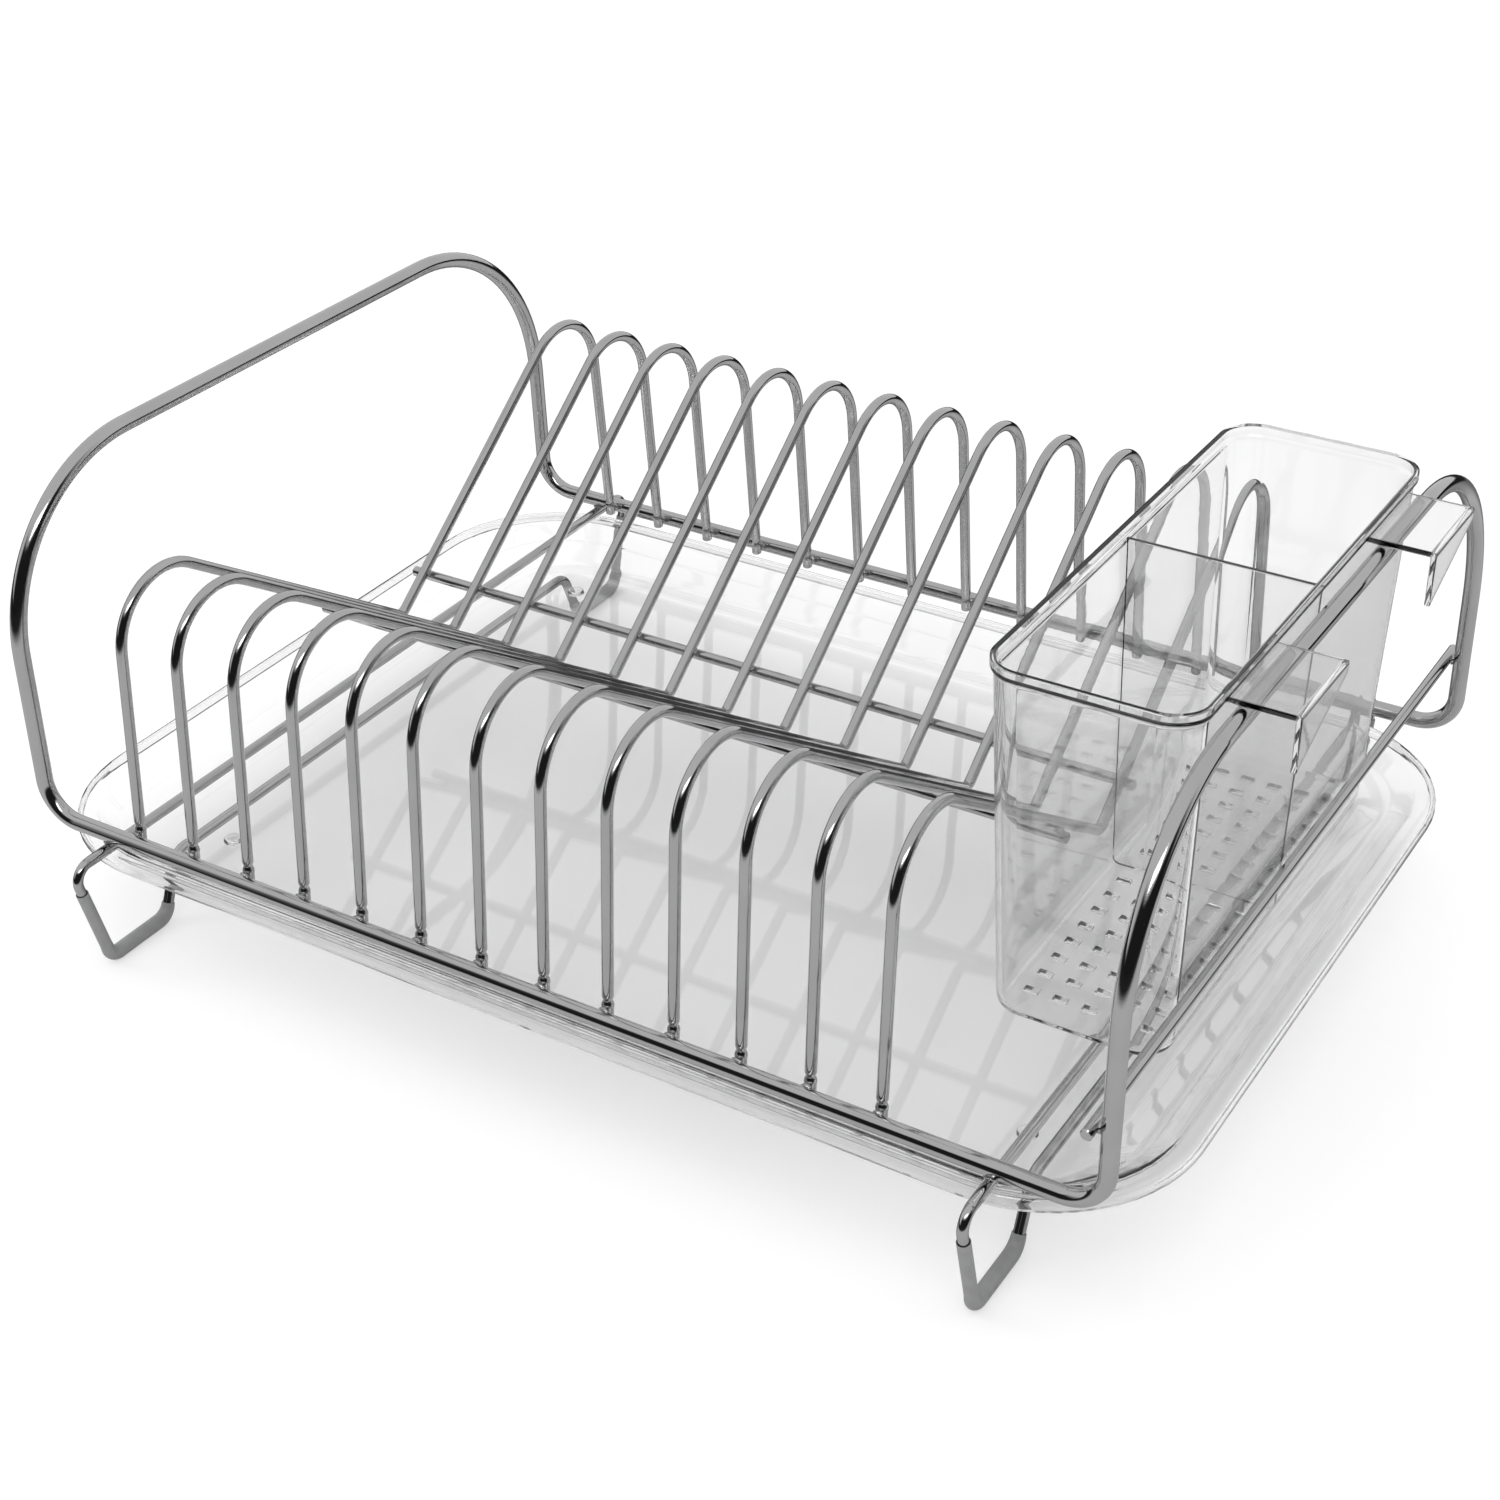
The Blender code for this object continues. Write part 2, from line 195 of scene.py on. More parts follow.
def dot(tree, vector, direction):
    """How far a vector points along a fixed direction."""
    node = place(tree, "ShaderNodeVectorMath", operation="DOT_PRODUCT")
    join(tree, vector, node.inputs[0])
    node.inputs[1].default_value = direction
    return node.outputs["Value"]


def upward(tree, vector):
    """The height part of a vector."""
    parts = place(tree, "ShaderNodeSeparateXYZ")
    join(tree, vector, parts.inputs[0])
    return parts.outputs["Z"]


def grey(level):
    return (level, level, level, 1.0)


NOISE_LIMITS = (0.3, 0.7)
GRAIN_HEIGHT = 0.18


def surface_wear_group():
    """Fine unevenness of a smooth surface: a height, a roughness and a shade that vary slowly."""
    outputs = {label: "NodeSocketFloat" for label in ("Height", "Roughness", "Shade")}
    inputs = {"Ripple Size": 90.0, "Grain Size": 900.0, "Roughness Low": 0.05,
              "Roughness High": 0.12, "Shade Low": 0.9}
    tree, given, result = group("surface_wear", inputs, outputs)
    where = place(tree, "ShaderNodeTexCoord").outputs["Object"]
    ripple = place(tree, "ShaderNodeTexNoise", Detail=2.0, Roughness=0.45)
    grain = place(tree, "ShaderNodeTexNoise", Detail=3.0, Roughness=0.6)
    for pattern, size in ((ripple, "Ripple Size"), (grain, "Grain Size")):
        join(tree, where, pattern.inputs["Vector"])
        join(tree, given.outputs[size], pattern.inputs["Scale"])
    fine = maths(tree, "MULTIPLY", grain.outputs["Fac"], GRAIN_HEIGHT)
    join(tree, maths(tree, "ADD", ripple.outputs["Fac"], fine), result.inputs["Height"])
    roughness = (given.outputs["Roughness Low"], given.outputs["Roughness High"])
    rough = remap(tree, grain.outputs["Fac"], NOISE_LIMITS, roughness, "LINEAR")
    join(tree, rough, result.inputs["Roughness"])
    shades = (given.outputs["Shade Low"], 1.0)
    shade = remap(tree, ripple.outputs["Fac"], NOISE_LIMITS, shades, "LINEAR")
    join(tree, shade, result.inputs["Shade"])
    return tree


SURFACE_WEAR = surface_wear_group()


def finish(name, colour, wear, shade_low, bump, **shader_values):
    """A material whose colour, roughness and bump come from the surface wear group.

    wear gives the group's values, and bump is the strength and distance of its relief.
    """
    mat = bpy.data.materials.new(name)
    mat.use_nodes = True
    tree = mat.node_tree
    shader = tree.nodes["Principled BSDF"]
    for label, value in shader_values.items():
        shader.inputs[label.replace("_", " ")].default_value = value
    worn = place(tree, "ShaderNodeGroup", node_tree=SURFACE_WEAR)
    for label, value in wear.items():
        worn.inputs[label].default_value = value
    worn.inputs["Shade Low"].default_value = shade_low
    shaded = mix_colours(tree, 1.0, (*colour, 1.0), worn.outputs["Shade"], "MULTIPLY")
    join(tree, shaded, shader.inputs["Base Color"])
    join(tree, worn.outputs["Roughness"], shader.inputs["Roughness"])
    strength, distance = bump
    lumps = place(tree, "ShaderNodeBump", Strength=strength, Distance=distance)
    join(tree, worn.outputs["Height"], lumps.inputs["Height"])
    join(tree, lumps.outputs["Normal"], shader.inputs["Normal"])
    return mat


LAMP_FILM = 0.99


def let_lamps_through(mat):
    """Lamp light passes a clear moulding as through a thin film, so its shadow stays pale."""
    tree = mat.node_tree
    shader = tree.nodes["Principled BSDF"]
    film = place(tree, "ShaderNodeBsdfTransparent", Color=grey(LAMP_FILM))
    lamp_ray = place(tree, "ShaderNodeLightPath").outputs["Is Shadow Ray"]
    surface = mix_shaders(tree, lamp_ray, shader.outputs["BSDF"], film.outputs["BSDF"])
    join(tree, surface, tree.nodes["Material Output"].inputs["Surface"])


# Painted edge shade: the facing limits, and the share of the tint kept where the plastic is seen edge on
EDGE_SHADE_LIMITS = (0.52, 0.98)
EDGE_SHADE_TINT = 0.50


def paint_edge_on_shade(mat):
    """Painted shade: the plastic's tint is darkened where it is seen edge on, which draws dark outlines
    along its rims and round edges.
    """
    tree = mat.node_tree
    shader = tree.nodes["Principled BSDF"]
    facing = place(tree, "ShaderNodeLayerWeight", Blend=0.5).outputs["Facing"]
    edge_shade = remap(tree, facing, EDGE_SHADE_LIMITS, (1.0, EDGE_SHADE_TINT))
    tint = shader.inputs["Base Color"].links[0].from_socket
    edge_shaded_tint = mix_colours(tree, 1.0, tint, edge_shade, "MULTIPLY")
    join(tree, edge_shaded_tint, shader.inputs["Base Color"])


def chrome():
    wear = {"Ripple Size": 60.0, "Grain Size": 1400.0, "Roughness Low": 0.05, "Roughness High": 0.11}
    colour = (0.44, 0.44, 0.445)
    return finish("bright_chrome", colour, wear, shade_low=0.93, bump=(0.10, 0.0004), Metallic=1.0)


def weld_metal():
    wear = {"Ripple Size": 700.0, "Grain Size": 3000.0, "Roughness Low": 0.10, "Roughness High": 0.26}
    colour = (0.40, 0.40, 0.405)
    return finish("plated_weld", colour, wear, shade_low=0.72, bump=(0.6, 0.0006), Metallic=1.0)


def vinyl():
    wear = {"Ripple Size": 240.0, "Grain Size": 2600.0, "Roughness Low": 0.34, "Roughness High": 0.48}
    colour = (0.31, 0.312, 0.315)
    return finish("grey_vinyl", colour, wear, shade_low=0.90, bump=(0.35, 0.0003), IOR=1.52)


def clear_styrene(name, colour, ripple_size, bump):
    wear = {"Ripple Size": ripple_size, "Grain Size": 60.0, "Roughness Low": 0.0, "Roughness High": 0.012}
    mat = finish(name, colour, wear, shade_low=0.96, bump=bump, IOR=1.57, Transmission_Weight=1.0)
    # painted shade on the plastic where it is seen edge on
    paint_edge_on_shade(mat)
    let_lamps_through(mat)
    return mat


CHROME = chrome()
WELD = weld_metal()
VINYL = vinyl()
CLEAR_TRAY = clear_styrene(
    "clear_tray_styrene", (0.96, 0.961, 0.961), ripple_size=9.0, bump=(0.035, 0.002))
CLEAR_CADDY = clear_styrene(
    "clear_caddy_styrene", (0.895, 0.896, 0.896), ripple_size=14.0, bump=(0.05, 0.001))


# ---------------------------------------------------------------- mesh helpers
def piece(name, bm, material, body, stands_for=(), crease=35.0):
    """Turns a bmesh in rack space into a finished object that rides on a body."""
    bmesh.ops.recalc_face_normals(bm, faces=bm.faces)
    mesh = bpy.data.meshes.new(name)
    bm.to_mesh(mesh)
    bm.free()
    mesh.transform(Matrix.Translation(RACK_ORIGIN))
    mesh.polygons.foreach_set("use_smooth", [True] * len(mesh.polygons))
    mesh.set_sharp_from_angle(angle=math.radians(crease))
    mesh.materials.append(material)
    obj = bpy.data.objects.new(name, mesh)
    bpy.context.scene.collection.objects.link(obj)
    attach(obj, body)
    if stands_for:
        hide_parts(*stands_for)
    return obj


def bend(points, radii, step=0.10, closed=False):
    """Points along a bent wire: straight runs, and an arc of the given radius at each corner."""
    points = [Vector(p) for p in points]
    count = len(points)
    corners = range(count) if closed else range(1, count - 1)
    path = [] if closed else [points[0]]
    for i, radius in zip(corners, radii):
        corner = points[i]
        back = (points[i - 1] - corner).normalized()
        ahead = (points[(i + 1) % count] - corner).normalized()
        half = back.angle(ahead) / 2
        start = corner + back * (radius / math.tan(half))
        middle = corner + (back + ahead).normalized() * (radius / math.sin(half))
        arm = start - middle
        side = arm.cross(back.cross(ahead).normalized())
        turn = math.pi - 2 * half
        if side.dot(back) > 0:
            side.negate()
        steps = max(4, math.ceil(turn / step))
        for k in range(steps + 1):
            a = turn * k / steps
            path.append(middle + arm * math.cos(a) + side * math.sin(a))
    if not closed:
        path.append(points[-1])
    return path


def fill_in(path, spacing, closed=False):
    """The same path with points added so that none are further apart than spacing."""
    filled = []
    ends = path[1:] + ([path[0]] if closed else [])
    for a, b in zip(path, ends):
        steps = max(1, math.ceil((b - a).length / spacing))
        filled += [a.lerp(b, k / steps) for k in range(steps)]
    if not closed:
        filled.append(path[-1])
    return filled


def lengths_along(path):
    total = 0.0
    found = [0.0]
    for a, b in zip(path, path[1:]):
        total += (b - a).length
        found.append(total)
    return found


def cross_frames(path, closed):
    """A pair of axes square to the path at each point, turning as little as possible."""
    count = len(path)
    tangents = []
    for i in range(count):
        before = path[i - 1] if closed or i else path[0]
        after = path[(i + 1) % count] if closed or i < count - 1 else path[-1]
        tangents.append((after - before).normalized())
    axis = tangents[0].orthogonal().normalized()
    axes = [axis]
    for a, b in zip(tangents, tangents[1:]):
        axis = a.rotation_difference(b) @ axis
        axis = (axis - b * axis.dot(b)).normalized()
        axes.append(axis)
    twist = 0.0
    if closed:
        last = tangents[-1].rotation_difference(tangents[0]) @ axes[-1]
        twist = math.atan2(last.cross(axes[0]).dot(tangents[0]), last.dot(axes[0]))
    frames = []
    for i, (tangent, axis) in enumerate(zip(tangents, axes)):
        a = twist * i / count
        other = tangent.cross(axis)
        first = axis * math.cos(a) + other * math.sin(a)
        frames.append((first, tangent.cross(first)))
    return frames


def sweep(bm, path, radii, sides, closed=False):
    """A round skin along the path, with a radius for each point. Returns its rings."""
    rings = []
    for point, radius, (u, v) in zip(path, radii, cross_frames(path, closed)):
        ring = []
        for k in range(sides):
            a = 2 * math.pi * k / sides
            ring.append(bm.verts.new(point + (u * math.cos(a) + v * math.sin(a)) * radius))
        rings.append(ring)
    pairs = list(zip(rings, rings[1:]))
    if closed:
        pairs.append((rings[-1], rings[0]))
    for low, high in pairs:
        bridge(bm, low, high)
    return rings


def bridge(bm, low, high):
    for k in range(len(low)):
        n = (k + 1) % len(low)
        bm.faces.new((low[k], low[n], high[n], high[k]))


CHAMFER = 0.0004
FRAME_SIDES = 36
WIRE_SIDES = 26


def rod(bm, path, radius, sides=WIRE_SIDES, closed=False, radius_at=None):
    """A solid rod with chamfered ends. radius_at(length, total, point) scales its radius."""
    if not closed:
        head = (path[1] - path[0]).normalized() * CHAMFER
        tail = (path[-2] - path[-1]).normalized() * CHAMFER
        path = [path[0], path[0] + head, *path[1:-1], path[-1] + tail, path[-1]]
    lengths = lengths_along(path)
    radii = [radius] * len(path)
    if radius_at:
        radii = [radius * radius_at(s, lengths[-1], p) for s, p in zip(lengths, path)]
    if not closed:
        radii[0] = radii[-1] = radii[1] - CHAMFER
    rings = sweep(bm, path, radii, sides, closed)
    if not closed:
        bm.faces.new(rings[0])
        bm.faces.new(rings[-1])


# ---------------------------------------------------------------- wire rack
def frame_loop():
    corners = []
    radii = []
    rear_top = BACK_RAIL_Y - HANDLE_REAR_LEAN
    for side in (1, -1):
        x = side * HALF_X
        run = [
            ((x, FRONT_RAIL_Y, 0.0), RAIL_CORNER_R),
            ((x, FRONT_RAIL_Y, HANDLE_Z), HANDLE_FRONT_R),
            ((x, rear_top, HANDLE_Z), HANDLE_REAR_R),
            ((x, BACK_RAIL_Y, 0.0), RAIL_CORNER_R),
        ]
        for corner, radius in run[::side]:
            corners.append(corner)
            radii.append(radius)
    bm = bmesh.new()
    rod(bm, bend(corners, radii, step=0.06, closed=True), FRAME_R, FRAME_SIDES, closed=True)
    piece("bright_frame_rod", bm, CHROME, "rack", ["frame_loop"])


WAIST_FROM_TIP = 0.0062
WAIST_SPREAD = 0.0009
WAIST_DEPTH = 0.20
BULGE_FROM_TIP = 0.0041
BULGE_SPREAD = 0.0008
BULGE_HEIGHT = 0.07
TIP_DIVISIONS = 200     # of an upright's length, close enough together to follow the waist
TIP_POINTS = 21


def weld_waist(length, total, _point):
    """Near each end a plate wire narrows and then swells, where the weld drew it in."""
    from_tip = min(length, total - length)
    waist = WAIST_DEPTH * math.exp(-((from_tip - WAIST_FROM_TIP) / WAIST_SPREAD) ** 2)
    bulge = BULGE_HEIGHT * math.exp(-((from_tip - BULGE_FROM_TIP) / BULGE_SPREAD) ** 2)
    return 1.0 - waist + bulge


def plate_wires():
    profile = [(0.0, UPRIGHT_TIP_Z), ARCH, VALLEY, HOOP, (DEPTH, UPRIGHT_TIP_Z)]
    for i in range(WIRES):
        x = WIRE_SHIFT + (i - WIRES // 2) * PITCH
        path = bend([(x, y, z) for y, z in profile], (ARCH_R, VALLEY_R, HOOP_R))
        shares = [k / TIP_DIVISIONS for k in range(1, TIP_POINTS + 1)]
        front_tip = [path[0].lerp(path[1], share) for share in shares]
        rear_tip = [path[-1].lerp(path[-2], share) for share in reversed(shares)]
        path = [path[0], *front_tip, *path[1:-1], *rear_tip, path[-1]]
        bm = bmesh.new()
        rod(bm, path, WIRE_R, radius_at=weld_waist)
        label = f"{i + 1:02d}"
        piece(f"bright_plate_wire_{label}", bm, CHROME, "rack", [f"plate_wire_{label}"])


def under_slope(a, b, y):
    """(y, z) of a cross rod under the slope from corner a to corner b, and of its weld."""
    run = Vector((b[0] - a[0], b[1] - a[1])).normalized()
    down = Vector((run.y, -run.x))
    if down.y > 0:
        down.negate()
    touch = Vector((y, a[1] + (y - a[0]) * run.y / run.x))
    return touch + down * (2 * WIRE_R + GAP), touch + down * (WIRE_R + GAP / 2)


SLOPE_RODS = (("front", ARCH, VALLEY, FRONT_ROD_Y), ("rear", VALLEY, HOOP, REAR_ROD_Y))


def slope_rods():
    x0 = WIRE_SHIFT - PITCH * (WIRES // 2) - ROD_LEFT
    x1 = WIRE_SHIFT + PITCH * (WIRES // 2) + ROD_RIGHT
    for end, a, b, y in SLOPE_RODS:
        axis, _ = under_slope(a, b, y)
        bm = bmesh.new()
        rod(bm, [Vector((x0, *axis)), Vector((x1, *axis))], WIRE_R)
        piece(f"bright_{end}_slope_rod", bm, CHROME, "rack", [f"{end}_slope_rod"])


SIDE_RAIL_X = HALF_X - RAIL_OFFSET


def side_rail():
    ends = (FRONT_RAIL_Y - SIDE_RAIL_OVERHANG, BACK_RAIL_Y + SIDE_RAIL_OVERHANG)
    bm = bmesh.new()
    rod(bm, [Vector((SIDE_RAIL_X, y, SIDE_RAIL_Z)) for y in ends], WIRE_R)
    piece("bright_side_rail", bm, CHROME, "rack", ["right_side_rail"])


def foot_corners(x, rear):
    corners = [FOOT_TOP, FOOT_TOE, FOOT_HEEL, FOOT_RISE]
    if rear:
        corners = [(DEPTH - y, z) for y, z in reversed(corners)]
    return [Vector((x, y, z)) for y, z in corners]


THINNING_START = 0.014
THINNING_LENGTH = 0.006
LEG_RING_SPACING = 0.004


def thinned_outside(_length, _total, point):
    """A leg ring is drawn slightly thinner round its outermost bends."""
    outside = abs(point.y - DEPTH / 2) - DEPTH / 2
    share = min(1.0, max(0.0, (outside - THINNING_START) / THINNING_LENGTH))
    return 1.0 + (FOOT_OUTSIDE_R / WIRE_R - 1.0) * share * share * (3 - 2 * share)


def leg_rings():
    for side, x in zip(("left", "right"), LEG_X):
        corners = foot_corners(x, False) + foot_corners(x, True)
        path = bend(corners, FOOT_RADII + FOOT_RADII[::-1], closed=True)
        path = fill_in(path, LEG_RING_SPACING, closed=True)
        bm = bmesh.new()
        rod(bm, path, WIRE_R, closed=True, radius_at=thinned_outside)
        piece(f"bright_{side}_leg_ring", bm, CHROME, "rack", [f"{side}_leg_ring"])


SLEEVE_BORE_R = WIRE_R + 0.00008
SLEEVE_LIP = 0.00022
SLEEVE_SIDES = 30
SLEEVE_SPACING = 0.0011
SOLE_HEIGHT = 0.006


def foot_sleeves():
    """Each sleeve is a hollow vinyl tube with rounded lips, thickest under the foot."""
    for side, x in zip(("left", "right"), LEG_X):
        for end in ("front", "rear"):
            corners = foot_corners(x, end == "rear")
            if end == "rear":
                corners.reverse()
            top, toe, heel, rise = corners
            start = toe.lerp(top, (SLEEVE_TOP_Z - toe.z) / (top.z - toe.z))
            stop = heel.lerp(rise, (SLEEVE_HEEL_Z - heel.z) / (rise.z - heel.z))
            path = bend([start, toe, heel, stop], FOOT_RADII[1:3], step=0.12)
            path = fill_in(path, SLEEVE_SPACING)
            sole = min(p.z for p in path)
            radii = []
            for p in path:
                share = min(1.0, max(0.0, (p.z - sole) / SOLE_HEIGHT))
                radii.append(SLEEVE_SOLE_R + (SLEEVE_END_R - SLEEVE_SOLE_R) * share)
            bm = bmesh.new()
            outer = sweep(bm, path, radii, SLEEVE_SIDES)
            bore = sweep(bm, path, [SLEEVE_BORE_R] * len(path), SLEEVE_SIDES)
            for k, inward in ((0, 1), (-1, -1)):
                along = (path[k + inward] - path[k]).normalized()
                for ring, radius in ((outer[k], radii[k]), (bore[k], SLEEVE_BORE_R)):
                    for vert in ring:
                        vert.co += along * SLEEVE_LIP
                edge = []
                for a, b in zip(outer[k], bore[k]):
                    edge.append(bm.verts.new(a.co.lerp(b.co, 0.5) - along * SLEEVE_LIP))
                bridge(bm, outer[k], edge)
                bridge(bm, edge, bore[k])
            name = f"foot_sleeve_{end}_{side}"
            piece(f"vinyl_{name}", bm, VINYL, "rack", [name], crease=60.0)


UPRIGHT_BEAD = (0.0023, 0.0012, 0.0021)
SLOPE_ROD_BEAD = (0.0018, 0.0014, 0.0010)
LEG_BEAD = (0.0024, 0.0024, 0.0011)
SIDE_RAIL_BEAD = (0.0011, 0.0024, 0.0022)
BEAD_TOWARDS_WIRE = 0.0004
BEAD_RISE = 0.0003
LUMP_HEIGHT = 0.16
LUMP_SCALE = 1.7


def bead(bm, centre, size, seed):
    """One lumpy weld bead of the given half sizes."""
    made = bmesh.ops.create_icosphere(bm, subdivisions=3, radius=1.0)
    own_place = Vector((seed * 3.1, seed * 1.7, 0.0))
    for vert in made["verts"]:
        lump = 1.0 + LUMP_HEIGHT * noise.noise(vert.co * LUMP_SCALE + own_place)
        vert.co = centre + Vector([c * s * lump for c, s in zip(vert.co, size)])


def weld_beads():
    """A bead where each wire is welded to a rail or a rod."""
    welds = []
    from_wire = RAIL_OFFSET / 2 - BEAD_TOWARDS_WIRE
    for i in range(WIRES):
        x = WIRE_SHIFT + (i - WIRES // 2) * PITCH
        for y in (-from_wire, DEPTH + from_wire):
            welds.append(((x, y, BEAD_RISE), UPRIGHT_BEAD))
        for _, a, b, y in SLOPE_RODS:
            _, touch = under_slope(a, b, y)
            welds.append(((x, *touch), SLOPE_ROD_BEAD))
    for x in LEG_X:
        for y in (FRONT_RAIL_Y, BACK_RAIL_Y):
            welds.append(((x, y, -FRAME_R - GAP / 2), LEG_BEAD))
    post_lean = HANDLE_REAR_LEAN * SIDE_RAIL_Z / HANDLE_Z
    for y in (FRONT_RAIL_Y, BACK_RAIL_Y - post_lean):
        welds.append(((HALF_X - FRAME_R - GAP / 2, y, SIDE_RAIL_Z), SIDE_RAIL_BEAD))
    bm = bmesh.new()
    for seed, (centre, size) in enumerate(welds):
        bead(bm, Vector(centre), size, seed)
    piece("weld_beads", bm, WELD, "rack", crease=80.0)


frame_loop()
plate_wires()
slope_rods()
side_rail()
leg_rings()
foot_sleeves()
weld_beads()


# ---------------------------------------------------------------- clear mouldings
SOFTEN_STEPS = 5
MOST_OF_A_RUN = 0.48
LEAST_CORNER_R = 0.0008
EDGE_ROUNDING = 0.40


def soften(levels, reach):
    """Rounds the corners of a section; a level is (inset x, inset y, z, corner radius)."""
    levels = [Vector(level) for level in levels]
    rounded = [levels[0]]
    for before, corner, after in zip(levels, levels[1:], levels[2:]):
        back = before - corner
        ahead = after - corner
        start = corner + back * min(MOST_OF_A_RUN, reach / Vector((back.x, back.z)).length)
        stop = corner + ahead * min(MOST_OF_A_RUN, reach / Vector((ahead.x, ahead.z)).length)
        for k in range(SOFTEN_STEPS + 1):
            t = k / SOFTEN_STEPS
            rounded.append(start.lerp(corner, t).lerp(corner.lerp(stop, t), t))
    rounded.append(levels[-1])
    return rounded


def thicken(levels, wall):
    """The levels of the other side of the wall, towards the inside of the vessel."""
    inner = []
    for i, level in enumerate(levels):
        before = levels[max(i - 1, 0)]
        after = levels[min(i + 1, len(levels) - 1)]
        run = after - before
        along_x = Vector((run.x, run.z)).normalized()
        along_y = Vector((run.y, run.z)).normalized()
        step_x = along_x.y * wall
        step_y = along_y.y * wall
        rise = -along_x.x * wall
        radius = max(level.w - step_x, LEAST_CORNER_R)
        inner.append(Vector((level.x + step_x, level.y + step_y, level.z + rise, radius)))
    return inner


CORNER_STEPS = 14


def level_ring(bm, box, level):
    """One closed ring of vertices: the box drawn in by the level's insets, with round corners."""
    x0, x1, y0, y1 = box
    x0, x1, y0, y1 = x0 + level.x, x1 - level.x, y0 + level.y, y1 - level.y
    r = level.w
    centres = [(x1 - r, y1 - r), (x0 + r, y1 - r), (x0 + r, y0 + r), (x1 - r, y0 + r)]
    ring = []
    for quarter, (cx, cy) in enumerate(centres):
        for k in range(CORNER_STEPS + 1):
            a = math.pi / 2 * (quarter + k / CORNER_STEPS)
            ring.append(bm.verts.new((cx + r * math.cos(a), cy + r * math.sin(a), level.z)))
    return ring


def vessel(bm, box, levels, wall):
    """A closed shell: outside skin, rounded edge, inside skin, and a flat floor on both."""
    inner = thicken(levels, wall)
    run = (levels[-1] - levels[-2]).normalized()
    edge = (levels[-1] + inner[-1]) / 2
    levels[-1] = levels[-1] - run * wall * EDGE_ROUNDING
    inner[-1] = inner[-1] - run * wall * EDGE_ROUNDING
    rings = [level_ring(bm, box, level) for level in [*levels, edge, *reversed(inner)]]
    for low, high in zip(rings, rings[1:]):
        bridge(bm, low, high)
    bm.faces.new(rings[0])
    bm.faces.new(rings[-1])


def keep_flats_flat(obj):
    weigh = obj.modifiers.new("weighted_normals", "WEIGHTED_NORMAL")
    weigh.keep_sharp = True
    weigh.weight = 80


TRAY_SOFTENING = 0.0013


def drip_tray():
    """A shallow tray with sloping sides, a turned-down rim and four low bosses on its floor."""
    box = (TRAY_X - TRAY_HALF_X, TRAY_X + TRAY_HALF_X, DEPTH / 2 - TRAY_HALF_Y, DEPTH / 2 + TRAY_HALF_Y)
    low = TRAY_FLOOR_Z
    top = TRAY_RIM_Z - TRAY_WALL
    levels = [
        (0.0330, 0.0240, low, 0.026),
        (0.0290, 0.0200, low + 0.0012, 0.030),
        (0.0250, 0.0170, low + 0.0035, 0.034),
        (0.0178, 0.0128, low + 0.0072, 0.040),
        (0.0160, 0.0117, low + 0.0076, 0.0415),
        (0.0080, 0.0070, top - 0.0012, 0.048),
        (0.0060, 0.0055, top, 0.050),
        (0.0018, 0.0018, top, 0.053),
        (0.0018, 0.0018, top - 0.0035, 0.053),
    ]
    bm = bmesh.new()
    vessel(bm, box, soften(levels, TRAY_SOFTENING), TRAY_WALL)
    for sx in (-1, 1):
        for sy in (-1, 1):
            tray_boss(bm, Vector((sx * BOSS_X, DEPTH / 2 + sy * BOSS_Y, low + TRAY_WALL)))
    tray = piece("clear_drip_tray", bm, CLEAR_TRAY, "tray", ["drip_tray"], crease=50.0)
    keep_flats_flat(tray)


BOSS_HEIGHT = 0.0015
BOSS_SIDES = 32


def tray_boss(bm, foot):
    """A low round boss that stands on the tray's floor, its top edge rounded."""
    profile = [(1.0, 0.00005), (1.0, 0.35), (0.97, 0.7), (0.86, 0.95), (0.70, 1.0)]
    rings = []
    for share, rise in profile:
        ring = []
        for k in range(BOSS_SIDES):
            a = 2 * math.pi * k / BOSS_SIDES
            out = BOSS_R * share
            offset = Vector((math.cos(a) * out, math.sin(a) * out, rise * BOSS_HEIGHT))
            ring.append(bm.verts.new(foot + offset))
        rings.append(ring)
    for lower, upper in zip(rings, rings[1:]):
        bridge(bm, lower, upper)
    bm.faces.new(rings[0])
    bm.faces.new(rings[-1])


def shape_tool(name, bm, round_off=0.0):
    """A closed helper mesh for joining or cutting, which is removed once it has been used."""
    bmesh.ops.recalc_face_normals(bm, faces=bm.faces)
    mesh = bpy.data.meshes.new(name)
    bm.to_mesh(mesh)
    bm.free()
    mesh.transform(Matrix.Translation(RACK_ORIGIN))
    obj = bpy.data.objects.new(name, mesh)
    bpy.context.scene.collection.objects.link(obj)
    if round_off:
        bevel = obj.modifiers.new("round_off", "BEVEL")
        bevel.width = round_off
        bevel.segments = 3
        bevel.limit_method = "ANGLE"
        bevel.angle_limit = math.radians(25)
    return obj


def settle(obj, crease):
    """Replaces the object's mesh with what its modifiers make of it."""
    made = bpy.data.meshes.new_from_object(obj.evaluated_get(bpy.context.evaluated_depsgraph_get()))
    obj.modifiers.clear()
    obj.data = made
    made.polygons.foreach_set("use_smooth", [True] * len(made.polygons))
    made.set_sharp_from_angle(angle=math.radians(crease))


def join_tools(obj, tools, operation, solver):
    for tool in tools:
        step = obj.modifiers.new(tool.name, "BOOLEAN")
        step.operation = operation
        step.solver = solver
        step.object = tool


def plate(bm, outline, low, high):
    """A closed slab: the outline's (x, z) points at y = low and y = high."""
    near = [bm.verts.new((x, low, z)) for x, z in outline]
    far = [bm.verts.new((x, high, z)) for x, z in outline]
    bm.faces.new(near)
    bm.faces.new(far)
    bridge(bm, near, far)


